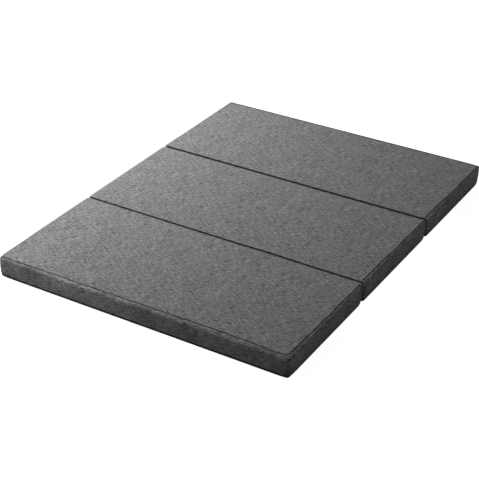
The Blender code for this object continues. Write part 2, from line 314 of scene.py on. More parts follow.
def rim_rows(edge):
    """The edge of the top sheet, from the groove of its seam to the level crown."""
    rows, turn = seam_rows(edge, 1)
    level_turn = max(quarter_turn, turn + 2 * mm / edge.round_in)
    for step in range(1, round_steps):
        rows.append(edge_row(edge, turn + (level_turn - turn) * step / (round_steps - 1)))
    return rows


def hem_rows(height, side):
    """The folded edge of a flap beside the zip, round from its outside to its inside."""
    centre = height + side * wall / 2
    rows = []
    for step in range(hem_steps + 1):
        lean = math.pi * step / hem_steps
        rows.append((side_inset(height) + wall / 2 * (1 - math.cos(lean)),
                     centre - side * wall / 2 * math.sin(lean), 1.0, 0.0))
    return rows


def upper_flap_rows(edge):
    """The flap above the zip, from the top seam's groove to its inner side."""
    return (round_rows(edge) + side_run(side_top(edge), slot_high + wall / 2, flap_rows)
            + hem_rows(slot_high, 1))


def upper_flap_back(edge):
    """The hidden side of the upper flap, from its hem back up to the seam."""
    return [side_row(slot_high + 3 * wall, wall)] + top_back_rows(edge)


def lower_flap_rows(edge):
    """The flap below the zip, from its inner side round the hem and down to the bottom seam."""
    return (hem_rows(slot_low, -1)[::-1] + side_run(slot_low - wall / 2, side_bottom, flap_rows)
            + bottom_lip_rows())


def lower_flap_back(edge):
    """The hidden side of the lower flap, from the bottom seam back up to its hem."""
    return [bottom_row(bottom_seam_high, 1.8 * wall), side_row(side_bottom + 3 * wall, 2 * wall),
            side_row(slot_low - 3 * wall, wall)]


def underside_rows(edge):
    """The edge of the sheet underneath, from its seam round the bottom edge to its flat face."""
    return bottom_hem(bottom_seam_low, 1)[::-1] + [
        bottom_row(bottom_seam_low * (1 - step / (round_steps - 1)))
        for step in range(round_steps)]


def binding_rows(inset, height, outward, up, half):
    """The four edges of the dark tape at the bottom of a seam's groove."""
    rows = []
    for across, depth in ((-half, 0.0), (-half, binding_thickness), (half, binding_thickness),
                          (half, 0.0)):
        rows.append((inset - across * up + depth * outward,
                     height - across * outward - depth * up, outward, up))
    return rows


def top_binding_rows(edge):
    """The tape in the top seam."""
    return binding_rows(*edge_row(edge, edge.seam_turn, binding_depth),
                        edge.groove_half + 0.2 * mm)


def bottom_binding_rows(edge):
    """The tape in the seam near the bottom edge."""
    turn = (bottom_seam_high + bottom_seam_low) / 2
    return binding_rows(*bottom_row(turn, 0.7 * mm), 1.3 * mm)


def edge_shares(panel, along):
    """How much of each kind of top edge the places on the outline have."""
    outward = outline_place(along)[1]
    fold = np.zeros(len(outward))
    if panel != "near":
        fold += smooth((-outward[:, 1] - 0.35) / 0.6)
    if panel != "far":
        fold += smooth((outward[:, 1] - 0.35) / 0.6)
    zipped = smooth((-outward[:, 0] - 0.35) / 0.6) * (1 - fold)
    return (1 - fold - zipped, fold, zipped)


def mixed_rows(rows_of, shares):
    """Rows of all kinds of edge, mixed for each place, as arrays of their four numbers."""
    for kinds in zip(*[rows_of(edge) for edge in edges]):
        yield [sum(value * share for value, share in zip(values, shares))
               for values in zip(*kinds)]


# Settling of a whole panel, which every piece of it follows

outer_pull = {("near", -1, -1): 3.0, ("near", 1, -1): 2.0, ("far", 1, 1): 5.0,
              ("far", -1, 1): 0.5}
corner_pull = 0.5
corner_reach = 35 * mm
beside_fold = 5.5 * mm
first_fold_lean = 4.5 * mm
second_fold_lean = 5 * mm
slump_back = 12 * mm
slump_down = 1.6 * mm
worn_in = 4 * mm
worn_down = 1.2 * mm
worn_reach = 28 * mm
near_drift = ((-0.72, -0.30, 0.10, 0.45, 0.68), (0.0, 4.0, 8.0, 12.0, 7.0))
right_drift = {"near": ((-0.95, -0.5, 0.0, 0.8), (7.0, 3.0, 0.0, -2.0)),
               "middle": ((-0.95, -0.5, 0.0, 0.95), (5.0, 2.0, -2.0, -3.0)),
               "far": ((-0.95, -0.4, 0.0, 0.95), (4.0, 1.0, -4.0, -5.0))}


def drift_share(inset):
    """How much of the seam's drift a place follows, from its distance from the side."""
    return smooth(inset / (13 * mm)) * (1 - smooth((inset - 0.018) / 0.045))


def settle(panel, points):
    """Moves points of a panel as its foam and cover have settled in use."""
    moved = points.copy()
    x = points[..., 0]
    y = points[..., 1] - centre_of[panel]
    z = points[..., 2]
    high = smooth((z - 0.02) / 0.08)
    low = 1 - smooth(z / 0.045)
    to_right = np.clip((x + half_width) / (2 * half_width), 0, 1)
    seed = panel_names.index(panel)

    # The right side sways a little along its top
    sway = waves(y, 0.52, 0.17, 3, seed + 11) * 1.1 * mm
    moved[..., 0] += sway * high * smooth((x - half_width + 0.09) / 0.09)
    sway = waves(x, 0.9, 0.25, 3, seed + 31) * 0.6 * mm
    near_edge = smooth((-y - half_length + 0.07) / 0.07)
    if panel == "near":
        moved[..., 1] += sway * high * near_edge

    # The corners of the whole mattress are rounder, and all bottom corners are drawn in
    for side_x in (-1, 1):
        for side_y in (-1, 1):
            reach = (hill(x - side_x * half_width, corner_reach)
                     * hill(y - side_y * half_length, corner_reach))
            pull = corner_pull * low + outer_pull.get((panel, side_x, side_y), 0.0)
            pull = pull * mm * reach
            moved[..., 0] -= side_x * pull
            moved[..., 1] -= side_y * pull

    # The top seam has drifted inwards along the near side and unevenly along the right side
    over_edge = smooth((z - 0.080) / 0.012)
    if panel == "near":
        inset = y + half_length
        drift = np.interp(x, near_drift[0], near_drift[1]) * mm
        moved[..., 1] += drift * drift_share(inset) * over_edge
    inset = half_width - x
    drift = np.interp(y / half_length, *right_drift[panel]) * mm
    moved[..., 0] -= drift * drift_share(inset) * over_edge

    # Beside a fold the right side is drawn in, and the top edges at the first fold lean back
    far_edge = smooth((y - half_length + 0.05) / 0.05)
    if panel != "far":
        drawn_in = hill(x - half_width, 0.03) * hill(y - half_length, 0.02)
        moved[..., 0] -= beside_fold * drawn_in
    if panel == "near":
        moved[..., 1] += first_fold_lean * high * far_edge

    # The folds open a little at the top, most where the middle panel's near edge has slumped
    if panel == "middle":
        moved[..., 1] -= second_fold_lean * high * far_edge
        slump = (0.55 + 0.45 * hill(x - 0.27, 0.11)) * high
        slump = slump * smooth((-y - half_length + 0.075) / 0.075)
        moved[..., 1] += slump_back * slump
        moved[..., 2] -= slump_down * slump
        worn = hill(x - half_width, worn_reach) * hill(y + half_length, worn_reach) * high
        moved[..., 0] -= worn_in * worn
        moved[..., 2] -= worn_down * worn
    moved[..., 2] -= 0.5 * mm * high * (1 - hill(to_right - 0.5, 0.6)) * 0.5
    return moved


# Unevenness of the fabric, along the seams and from the simulated cloth

# The fabric's waves beside a seam: longest, shortest, count, reach from the seam and height
pucker_waves = ((20 * mm, 9 * mm, 5, 6 * mm, 0.22), (45 * mm, 22 * mm, 4, 14 * mm, 0.30),
                (160 * mm, 60 * mm, 4, 35 * mm, 0.35))
pucker_start = 3.5 * mm
pucker_end = 18 * mm
pucker_fade = 20 * mm


def pucker(panel, along, distance):
    """How far the fabric stands proud beside a seam, from its distance from the seam."""
    seed = 50 + 10 * panel_names.index(panel)
    height = sum(waves(along, longest, shortest, count, seed + index)
                 * np.exp(-distance / reach) * amount
                 for index, (longest, shortest, count, reach, amount) in enumerate(pucker_waves))
    faded = 1 - smooth((distance - pucker_end) / pucker_fade)
    return height * mm * smooth(distance / pucker_start) * faded


def curve(first, second, slope, next_slope, share, gap=1.0):
    """A value on a smooth curve from one value to the next, with the slopes at both."""
    rest = 1 - share
    return (first * rest ** 2 * (1 + 2 * share) + second * share ** 2 * (1 + 2 * rest)
            + gap * share * rest * (slope * rest - next_slope * share))


def between(knots, values, places):
    """Values at places between knots, on a smooth curve through the values."""
    gaps = np.diff(knots)
    slopes = np.diff(values, axis=0) / gaps.reshape((-1,) + (1,) * (values.ndim - 1))
    tangents = np.concatenate([slopes[:1], (slopes[1:] + slopes[:-1]) / 2, slopes[-1:]])
    index = np.clip(np.searchsorted(knots, places, side="right") - 1, 0, len(knots) - 2)
    share = np.clip((places - knots[index]) / gaps[index], 0.0, 1.0)
    shape = share.shape + (1,) * (values.ndim - 1)
    return curve(values[index], values[index + 1], tangents[index], tangents[index + 1],
                 share.reshape(shape), gaps[index].reshape(shape))


def evened(field, wrapped):
    """A field of displacements with its finest unevenness taken out by the foam beneath."""
    for pass_index in range(smoothing_passes):
        for axis in (0, 1):
            count = field.shape[axis]
            margins = [(1, 1) if each == axis else (0, 0) for each in (0, 1)]
            padded = np.pad(field, margins, "wrap" if axis == 1 and wrapped else "edge")
            before = np.take(padded, range(count), axis)
            after = np.take(padded, range(2, count + 2), axis)
            field = (before + 2 * field + after) / 4
    return field


def level_sheet(places, others):
    """No relief, on a level face or where the simulation is skipped."""
    return np.zeros_like(places)


# The simulated cloth of a whole cover
cage_pitch = 16 * mm
cage_side_rows = 7
cage_frames = 20
cage_roughness = 0.8 * mm
smoothing_passes = 2
relief_gain = 1.6
cloth_settings = {"quality": 4, "mass": 0.2, "tension_stiffness": 25,
                  "compression_stiffness": 25, "shear_stiffness": 10, "bending_stiffness": 20.0,
                  "use_pressure": True, "uniform_pressure_force": 4.0, "shrink_min": -0.006,
                  "vertex_group_mass": "held", "pin_stiffness": 4.0}
foam_hold = 0.36


def cage_marks(half):
    """Places of the cage's lines along one side of a panel, seen from its middle."""
    count = int(round(2 * half / cage_pitch))
    return np.linspace(-half, half, count + 1)


def cage_mesh(marks_x, marks_y, heights, seed):
    """A closed cage of a panel's cover, and where its sides and top are in it."""
    random = np.random.default_rng(seed)
    count_x, count_y = len(marks_x), len(marks_y)
    grid_x, grid_y = np.meshgrid(marks_x, marks_y)
    level = edge_height + crown_height(grid_x, grid_y)
    on_edge = (np.abs(grid_x) > marks_x[-1] - 1e-6) | (np.abs(grid_y) > marks_y[-1] - 1e-6)
    level = np.where(on_edge, heights[0], level)
    top = np.stack([grid_x, grid_y, level], -1).reshape(-1, 3)
    ring = grid_rim(count_x, count_y)
    rim = top[ring]
    seam_inset = half_width - marks_x[-1]
    sides = []
    for height in heights[1:]:
        grow = seam_inset - side_inset(height)
        row = rim.copy()
        row[:, 0] *= 1 + grow / marks_x[-1]
        row[:, 1] *= 1 + grow / marks_y[-1]
        row[:, 2] = height
        sides.append(row)
    vertices = np.concatenate([top] + sides)
    columns = len(ring)
    rows = [np.array(ring)]
    rows += [len(top) + index * columns + np.arange(columns) for index in range(len(sides))]
    faces = grid_faces(count_y, count_x)
    for upper, lower in zip(rows, rows[1:]):
        for column in range(columns):
            following = (column + 1) % columns
            faces.append((upper[following], upper[column], lower[column], lower[following]))
    faces.append(tuple(rows[-1][::-1]))
    vertices = vertices + random.uniform(-1, 1, vertices.shape) * cage_roughness
    return vertices, [tuple(int(corner) for corner in face) for face in faces], rows


def simulate_cover(panel):
    """Fields of how far the fabric of a cover stands out, from a cloth simulation of it."""
    seam_inset, seam_level = edge_row(open_edge, open_edge.seam_turn)[:2]
    marks_x = cage_marks(half_width - seam_inset)
    marks_y = cage_marks(half_length - seam_inset)
    heights = np.linspace(seam_level, bottom_lift, cage_side_rows + 1)
    vertices, faces, rows = cage_mesh(marks_x, marks_y, heights, panel_names.index(panel))
    mesh = bpy.data.meshes.new("cage")
    mesh.from_pydata(vertices.tolist(), [], faces)
    cage = in_scene("cage", mesh)

    # The seams hold the cloth, and the foam under it holds it softly
    held = cage.vertex_groups.new(name="held")
    seams = [int(index) for index in np.concatenate([rows[0], rows[-1]])]
    sides = [int(index) for index in np.concatenate(rows[1:-1])]
    tops = sorted(set(range(len(marks_x) * len(marks_y))) - set(seams))
    held.add(seams, 1.0, "REPLACE")
    held.add(sides, foam_hold, "REPLACE")
    held.add(tops, foam_hold, "REPLACE")

    cloth = cage.modifiers.new("cloth", "CLOTH")
    settings = cloth.settings
    for setting, value in cloth_settings.items():
        setattr(settings, setting, value)
    settings.effector_weights.gravity = 0.0
    cloth.collision_settings.use_collision = False
    scene = bpy.context.scene
    cloth.point_cache.frame_start = 1
    cloth.point_cache.frame_end = cage_frames
    for step in range(1, cage_frames + 1):
        scene.frame_set(step)
    graph = bpy.context.evaluated_depsgraph_get()
    settled = cage.evaluated_get(graph).to_mesh()
    after = np.zeros(len(vertices) * 3)
    settled.vertices.foreach_get("co", after)
    moved = after.reshape(-1, 3) - vertices
    scene.frame_set(1)
    bpy.data.objects.remove(cage)
    bpy.data.meshes.remove(mesh)

    # What stands out of the sides, by distance along the outline and by height
    rim = vertices[rows[0]]
    along = outline_distance(rim[:, 0], rim[:, 1])
    order = np.argsort(along)
    facing = np.where((np.abs(rim[:, 0]) / half_width > np.abs(rim[:, 1]) / half_length)[:, None],
                      np.stack([np.sign(rim[:, 0]), np.zeros(len(rim))], -1),
                      np.stack([np.zeros(len(rim)), np.sign(rim[:, 1])], -1))
    out = np.array([(moved[row][:, :2] * facing).sum(-1)[order] for row in rows])
    out = evened(out, True) * relief_gain
    knots = along[order]
    knots = np.concatenate([knots[-3:] - outline_length, knots, knots[:3] + outline_length])
    out = np.concatenate([out[:, -3:], out, out[:, :3]], axis=1).T
    lift = moved[:len(marks_x) * len(marks_y), 2].reshape(len(marks_y), len(marks_x))
    lift = evened(lift - lift.mean(), False) * relief_gain

    def side(places, height):
        """How far the side stands out at places along the outline and at a height."""
        by_row = between(knots, out, np.mod(places, outline_length))
        level = float(np.clip(height, heights[-1], heights[0]))
        return between(heights[::-1], by_row.T[::-1], np.array([level]))[0]

    def top(x, y):
        """How far the top stands up at places of the panel."""
        flat_x = np.ravel(x)
        flat_y = np.ravel(y)
        index = np.clip(np.searchsorted(marks_y, flat_y, side="right") - 1, 1, len(marks_y) - 3)
        share = np.clip((flat_y - marks_y[index]) / (marks_y[1] - marks_y[0]), 0.0, 1.0)
        lines = between(marks_x, lift.T, flat_x)
        picked = [lines[np.arange(len(flat_x)), index + offset] for offset in (-1, 0, 1, 2)]
        value = curve(picked[1], picked[2], (picked[2] - picked[0]) / 2,
                      (picked[3] - picked[1]) / 2, share)
        return value.reshape(np.shape(x))
    return side, top


def side_limits(panel, along, height):
    """How far a place of the side may move in and out: little in a fold or beside the zip."""
    outward = outline_place(along)[1]
    near_fold = smooth((-outward[..., 1] - 0.5) * 4) * (panel != "near")
    far_fold = smooth((outward[..., 1] - 0.5) * 4) * (panel != "far")
    zip_end = smooth((-outward[..., 0] - 0.5) * 4)
    at_zip = zip_end * (1 - smooth((abs(height - zip_height) - 0.010) / 0.020))
    held = np.clip(near_fold + far_fold + zip_end, 0, 1)
    most = (2.6 * (1 - held) + 0.35 * held) * mm
    least = -(2.0 * (1 - at_zip) + 0.15 * at_zip) * mm
    return least, most


# Meshes

def in_scene(name, data):
    """A new object of the scene."""
    made = bpy.data.objects.new(name, data)
    bpy.context.scene.collection.objects.link(made)
    return made


def in_panel(panel, plan, height):
    """Points of a panel at places in plan, seen from its middle, and at a height."""
    height = np.broadcast_to(height, plan.shape[:-1])
    return np.stack([plan[..., 0], plan[..., 1] + centre_of[panel], height], -1)


def make_object(name, vertices, faces, cloth_places=None, smooth_faces=True):
    """A mesh object in the scene, with its cloth coordinates in metres."""
    mesh = bpy.data.meshes.new(name)
    mesh.from_pydata(vertices.tolist(), [], faces)
    mesh.validate()
    if cloth_places is not None:
        layer = mesh.uv_layers.new(name="cloth")
        corner_vertices = np.zeros(len(mesh.loops), np.int32)
        mesh.loops.foreach_get("vertex_index", corner_vertices)
        layer.data.foreach_set("uv", cloth_places[corner_vertices].astype(np.float32).ravel())
    mesh.polygons.foreach_set("use_smooth", [smooth_faces] * len(mesh.polygons))
    return in_scene(name, mesh)


def grid_faces(rows, columns, closed_rows=False, closed_columns=False, first=0):
    """Faces between neighbouring rows and columns of points."""
    faces = []
    for row in range(rows if closed_rows else rows - 1):
        below = (row + 1) % rows
        for column in range(columns if closed_columns else columns - 1):
            right = (column + 1) % columns
            faces.append((first + row * columns + column, first + row * columns + right,
                          first + below * columns + right, first + below * columns + column))
    return faces


def grid_rim(columns, rows):
    """Indices of the points round the rim of a grid, from its first corner."""
    last = (rows - 1) * columns
    return (list(range(columns - 1))
            + [row * columns + columns - 1 for row in range(rows - 1)]
            + [last + column for column in range(columns - 1, 0, -1)]
            + [row * columns for row in range(rows - 1, 0, -1)])


def closed_strip_faces(rows, columns):
    """Faces of a strip whose section is closed, with a cap at each end, facing out."""
    faces = [face[::-1] for face in grid_faces(rows, columns, closed_rows=True)]
    faces.append(tuple(row * columns for row in range(rows))[::-1])
    faces.append(tuple(row * columns + columns - 1 for row in range(rows)))
    return faces


def strip_columns(start, end):
    """Distances along the outline between two places, closer together round the corners."""
    marks = [start]
    while marks[-1] < end - 1e-9:
        here = np.mod(marks[-1], outline_length)
        run = int(outline_run(here))
        left = outline_marks[run + 1] - here
        pitch = arc_length / 8 if run % 2 == 1 else column_pitch
        step = left if left < 1.5 * pitch else pitch
        marks.append(min(marks[-1] + max(step, 1e-6), end))
    return np.array(marks)


def section_strip(name, panel, outer, back, start, end, relief, seam_heights, held_rows):
    """A strip of cover along the outline, from rows on its outside and its hidden back."""
    along = strip_columns(start, end)
    places, outward = outline_place(along)
    lift_side = relief[0]

    def all_rows(edge):
        """The rows of the outside and of the hidden back."""
        return outer(edge) + back(edge)

    open_rows = all_rows(open_edge)
    outer_count = len(outer(open_edge))
    points = np.zeros((len(open_rows), len(along), 3))
    cloth = np.zeros((len(open_rows), len(along), 2))
    shares = edge_shares(panel, along)
    run = 0.0
    for index, (inset, height, out, up) in enumerate(mixed_rows(all_rows, shares)):
        if index:
            run += math.dist(open_rows[index - 1][:2], open_rows[index][:2])
        lift = np.zeros(len(along))
        if held_rows <= index < outer_count:
            level = open_rows[index][1]
            lift = lift_side(along, level)
            for seam_height, strength in seam_heights:
                lift = lift + strength * pucker(panel, along, np.abs(height - seam_height))
            lift = soft_limit(lift, *side_limits(panel, along, height))
            over = smooth((level - side_top(open_edge)) / open_edge.round_down)
            lift = lift * (1 - 0.75 * over)
            lift = lift * smooth((height - side_bottom) / (10 * mm))
        offset = lift * out - inset
        points[index] = in_panel(panel, places + outward * offset[:, None], height + lift * up)
        cloth[index, :, 0] = along + panel_names.index(panel) * 1.37
        cloth[index, :, 1] = -run
    points = settle(panel, points)
    faces = closed_strip_faces(len(open_rows), len(along))
    return make_object(name, points.reshape(-1, 3), faces, cloth.reshape(-1, 2))


def seam_binding(name, panel, rows):
    """A closed tape that runs round a panel in one of its seams."""
    along = strip_columns(0.0, outline_length)[:-1]
    places, outward = outline_place(along)
    points = []
    for inset, height, out, up in mixed_rows(rows, edge_shares(panel, along)):
        points.append(in_panel(panel, places - outward * inset[:, None], height))
    points = settle(panel, np.array(points))
    faces = grid_faces(len(points), len(along), closed_rows=True, closed_columns=True)
    return make_object(name, points.reshape(-1, 3), faces)


def side_shares(half, pitch, fine):
    """Shares from -1 to 1 along a side, closer together near its two corners."""
    gaps = [fine] * int(round(corner_round / fine))
    step = fine
    while sum(gaps) < half and step < pitch:
        step = min(step * pitch_growth, pitch)
        gaps.append(step)
    left = half - sum(gaps)
    count = max(1, round(left / pitch))
    gaps += [left / count] * count
    ends = np.cumsum([0.0] + gaps) / half
    rising = -1 + ends
    return np.concatenate([rising, -rising[-2::-1]])


def ring_columns(shares_x, shares_y):
    """Sides and shares of the columns of a ring, from the near left corner round."""
    sides = []
    for side, shares in enumerate((shares_x, shares_y, shares_x, shares_y)):
        sides += [(side, share) for share in shares[:-1]]
    return np.array([side for side, share in sides]), np.array([share for side, share in sides])


side_outward = np.array([(0.0, -1.0), (1.0, 0.0), (0.0, 1.0), (-1.0, 0.0)])
side_forward = np.array([(1.0, 0.0), (0.0, 1.0), (-1.0, 0.0), (0.0, -1.0)])
side_half = np.array([half_width, half_length, half_width, half_length])
side_reach = np.array([half_length, half_width, half_length, half_width])


def ring_place(side, share, inset, sharp):
    """Places of a ring at an inset, between rounded corners (0) and sharp ones (1)."""
    outward = side_outward[side]
    forward = side_forward[side]
    half = side_half[side]
    reach = side_reach[side]
    inset = np.broadcast_to(inset, share.shape)
    sharp = np.broadcast_to(sharp, share.shape)[:, None]
    plain = outward * (reach - inset)[:, None] + forward * (share * (half - inset))[:, None]
    to_corner = (1 - np.abs(share)) * half
    turn = np.where(to_corner < corner_round, (1 - to_corner / corner_round) * math.pi / 4, 0.0)
    radius = np.maximum(corner_round - inset, 0.0)
    limit = half - np.maximum(corner_round, inset)
    out = reach - np.maximum(corner_round, inset) + radius * np.cos(turn)
    off = np.sign(share) * (limit + radius * np.sin(turn))
    on_corner = outward * out[:, None] + forward * off[:, None]
    on_straight = outward * (reach - inset)[:, None] + forward * (share * half)[:, None]
    past = (to_corner < corner_round) | (np.abs(share) * half > limit)
    rounded = np.where(past[:, None], on_corner, on_straight)
    return rounded * (1 - sharp) + plain * sharp


def crown_height(x, y):
    """Height of the crown over a place of the panel, without the rounded edge."""
    share_x = np.clip((half_width - np.abs(x) - open_edge.round_in) / crown_run, 0, 1)
    share_y = np.clip((half_length - np.abs(y) - open_edge.round_in) / crown_run, 0, 1)
    return crown_rise * (1 - (1 - share_x) ** 2) * (1 - (1 - share_y) ** 2)


def face_sheet(name, panel, rim, back_height, level, relief, upward, pitch, most):
    """A sheet of the cover with its rim, margin rings, inner grid and hidden flat back."""
    shares_x = side_shares(half_width, pitch, corner_pitch)
    shares_y = side_shares(half_length, pitch, corner_pitch)
    side, share = ring_columns(shares_x, shares_y)
    outermost = ring_place(side, share, 0.0, 0.0)
    shares = edge_shares(panel, outline_distance(outermost[:, 0], outermost[:, 1]))
    rows = list(mixed_rows(rim, shares))
    seam_inset = rows[0][0]
    rim_inset = rows[-1][0]
    points = []
    cloth = []

    # How far from the side each row of the rim would lie if the cloth was rolled out flat
    flat_insets = [rim_inset]
    for row, following in zip(rows[-2::-1], rows[::-1]):
        length = np.hypot(row[0] - following[0], row[1] - following[1])
        flat_insets.insert(0, flat_insets[0] - length)

    def ring(inset, height, out, up, on_rim, flat_inset):
        """Adds the points and the cloth coordinates of one ring of the sheet."""
        sharp = smooth((inset - seam_inset) / (margin_width - seam_inset))
        place = ring_place(side, share, inset, sharp)
        x, y = place[:, 0], place[:, 1]
        along = outline_distance(x, y)
        distance = np.maximum(0.0, inset - seam_inset)
        beyond = smooth((inset - rim_inset) / (8 * mm))
        lift = pucker(panel, along, distance) * (0.3 + 0.5 * beyond)
        lift = soft_limit(lift + relief(x, y), least_lift, most)
        if on_rim:
            lift = np.where(inset < seam_inset + lip_round, 0.0, lift)
        normal = np.stack([side_outward[side][:, 0] * out, side_outward[side][:, 1] * out, up], -1)
        z = height + (level(x, y) if not on_rim else 0.0)
        points.append(in_panel(panel, place, z) + normal * lift[:, None])
        cloth.append(ring_place(side, share, flat_inset, sharp) + (0.0, centre_of[panel]))

    for row, flat_inset in zip(rows, flat_insets):
        ring(*row, True, flat_inset)
    base_height = rim(open_edge)[-1][1]
    direction = 1.0 if upward else -1.0
    flat = np.zeros(len(side))
    for part in margin_shares:
        inset = rim_inset + (margin_width - rim_inset) * part
        ring(inset, base_height, flat, flat + direction, False, inset)
    rings = len(points)
    columns = len(side)
    inner_x = shares_x * (half_width - margin_width)
    inner_y = shares_y * (half_length - margin_width)
    grid_x, grid_y = np.meshgrid(inner_x, inner_y)
    lift = soft_limit(relief(grid_x, grid_y), least_lift, most)
    grid_z = base_height + level(grid_x, grid_y) + direction * lift
    grid = in_panel(panel, np.stack([grid_x, grid_y], -1), grid_z).reshape(-1, 3)
    vertices = np.concatenate([np.concatenate(points), grid])
    cloth = np.concatenate(cloth + [grid[:, :2]])
    first_grid = rings * columns
    across = len(inner_x)
    back = len(inner_y)
    faces = grid_faces(rings, columns, closed_columns=True)
    faces += grid_faces(back, across, first=first_grid)
    border = grid_rim(across, back)
    last = (rings - 1) * columns
    for column in range(columns):
        following = (column + 1) % columns
        faces.append((last + column, last + following,
                      first_grid + border[following], first_grid + border[column]))

    # The hidden back closes the sheet a little inside it
    back_ring = ring_place(side, share, seam_inset + 2 * wall, 0.0)
    back_points = in_panel(panel, back_ring, back_height)
    first_back = len(vertices)
    vertices = np.concatenate([vertices, back_points])
    cloth = np.concatenate([cloth, back_points[:, :2]])
    for column in range(columns):
        following = (column + 1) % columns
        faces.append((column, first_back + column, first_back + following, following))
    faces.append(tuple(range(first_back, first_back + columns))[::-1])
    if not upward:
        faces = [face[::-1] for face in faces]
    return make_object(name, settle(panel, vertices), faces, cloth)


filling_step = 0.03


def filling_block(name, panel, inset, low, high, edge):
    """A closed block inside a panel, with rounded edges, that settles with its cover."""
    side, share = ring_columns(side_shares(half_width, 4 * column_pitch, corner_pitch),
                               side_shares(half_length, 4 * column_pitch, corner_pitch))
    leans = [quarter_turn * step / 3 for step in range(4)]
    rings = [(inset + edge * (1 - math.sin(lean)), low + edge * (1 - math.cos(lean)))
             for lean in leans]
    rings += [(inset + edge * (1 - math.cos(lean)), high - edge * (1 - math.sin(lean)))
              for lean in leans]
    wide = [rings[0][0] + step * filling_step for step in (3, 2, 1)]
    rings = ([(place, low) for place in wide] + rings
             + [(place, high) for place in wide[::-1]])
    points = [in_panel(panel, ring_place(side, share, place, 0.0), height)
              for place, height in rings]
    points = settle(panel, np.array(points))
    count = len(side)
    faces = grid_faces(len(rings), count, closed_columns=True)
    faces.append(tuple(range(count))[::-1])
    faces.append(tuple(range((len(rings) - 1) * count, len(rings) * count)))
    return make_object(name, points.reshape(-1, 3), faces)


# The zip's tapes with their cord, its coil and its stops
cord_width = 2 * mm
cord_middle = 1.2 * mm
stop_length = 3.0 * mm
stop_gap = 0.2 * mm
stop_bevel = 0.5 * mm
stop_share = 0.86
tooth_front = 0.55 * mm
tooth_bevel = 0.38 * mm
tooth_share = 0.40
core_share = 0.34
rail_share = 0.9
rail_depth = 1.1 * mm
rail_bevel = 0.2 * mm
rail_overrun = 0.1 * mm


def zip_tape(name, panel, low, high, edge_side):
    """One woven tape of a zip, with the rounded cord that its teeth are sewn to."""
    places = np.linspace(low.y, high.y, 80)
    middle = (low.x + high.x) / 2
    half = (high.x - low.x) / 2
    if edge_side > 0:
        cord = [(-half, high.z - cord_width), (-1.5 * half, high.z - cord_middle)]
    else:
        cord = [(-1.5 * half, low.z + cord_middle), (-half, low.z + cord_width)]
    section = [(-half, low.z)] + cord + [(-half, high.z), (half, high.z), (half, low.z)]
    points = np.array([[(middle + across, place, height) for place in places]
                       for across, height in section])
    faces = closed_strip_faces(*points.shape[:2])
    cloth = points[..., 1:].reshape(-1, 2)
    points = settle(panel, points.reshape(-1, 3))
    return make_object(name, points, faces, cloth, smooth_faces=False)


def zip_teeth(name, low, high):
    """The closed coil of a zip, as loops from its two sides, with a stop at each end."""
    reach = high.z - zip_height
    core = reach * core_share
    vertices = []
    faces = []

    def block(y_low, y_high, z_low, z_high, x_front, bevel):
        """A box with its front edges drawn in."""
        first = len(vertices)
        for x, drawn_in in ((high.x, 0.0), (x_front + bevel, 0.0), (x_front, bevel * 0.8)):
            near, far = y_low + drawn_in, y_high - drawn_in
            bottom, top = z_low + drawn_in, z_high - drawn_in
            vertices.extend([(x, near, bottom), (x, far, bottom), (x, far, top), (x, near, top)])
        faces.append((first, first + 1, first + 2, first + 3))
        for ring in (0, 4):
            for corner in range(4):
                following = (corner + 1) % 4
                faces.append((first + ring + following, first + ring + corner,
                              first + ring + corner + 4, first + ring + following + 4))
        faces.append((first + 11, first + 10, first + 9, first + 8))

    start = low.y + stop_length
    end = high.y - stop_length
    count = int((end - start) / coil_pitch)
    pitch = (end - start) / count
    thick = pitch * tooth_share
    block(start - rail_overrun, end + rail_overrun, zip_height - rail_share * reach,
          zip_height + rail_share * reach, high.x - rail_depth, rail_bevel)
    for index in range(count):
        place = start + (index + 0.5) * pitch
        side = 1 if index % 2 else -1
        ends = sorted((zip_height - side * core, zip_height + side * reach))
        block(place - thick, place + thick, *ends, low.x + tooth_front, tooth_bevel)
    for y_low, y_high in ((low.y, start), (end, high.y)):
        block(y_low, y_high - stop_gap, zip_height - stop_share * reach,
              zip_height + stop_share * reach, low.x, stop_bevel)
    return make_object(name, np.array(vertices), faces, smooth_faces=False)


def hinge_tape(name, low, high):
    """A tape across a fold, in many rows across its width."""
    along = np.linspace(low.x, high.x, 120)
    centre = (low.y + high.y) / 2
    half = (high.y - low.y) / 2
    thick = (high.z - low.z) / 2
    level = (high.z + low.z) / 2
    upper = []
    lower = []
    for place in np.linspace(-1, 1, 25):
        row = np.stack([along, np.full(len(along), centre + place * half),
                        np.full(len(along), level)], -1)
        upper.append(row + np.array([0, 0, thick]))
        lower.append(row - np.array([0, 0, thick]))
    points = np.array(upper + lower[::-1])
    faces = [face[::-1] for face in closed_strip_faces(*points.shape[:2])]
    cloth = points[..., :2].reshape(-1, 2)
    return make_object(name, points.reshape(-1, 3), faces, cloth)


seam_heights = ((side_top(open_edge) + 8 * mm, 1.0), (side_bottom, 0.7))


# Materials

def set_inputs(tree, made, inputs):
    """Sets inputs of a node, each to a value or to another node's output."""
    for key, value in inputs.items():
        if isinstance(value, bpy.types.NodeSocket):
            tree.links.new(value, made.inputs[key])
        else:
            made.inputs[key].default_value = value


def node(tree, kind, inputs=None, **settings):
    """A node with its settings and its inputs."""
    made = tree.nodes.new(kind)
    for key, value in settings.items():
        setattr(made, key, value)
    set_inputs(tree, made, inputs or {})
    return made


def new_material(name, even_values):
    """A node material with its Principled shader, whose even values are on its own sockets."""
    made = bpy.data.materials.new(name)
    made.use_nodes = True
    shader = made.node_tree.nodes["Principled BSDF"]
    set_inputs(made.node_tree, shader, even_values)
    return made, made.node_tree, shader


def maths(tree, operation, first, *others):
    """Numbers or sockets taken together by Math nodes, one after the other."""
    for other in others:
        made = node(tree, "ShaderNodeMath", {0: first, 1: other}, operation=operation)
        first = made.outputs[0]
    return first


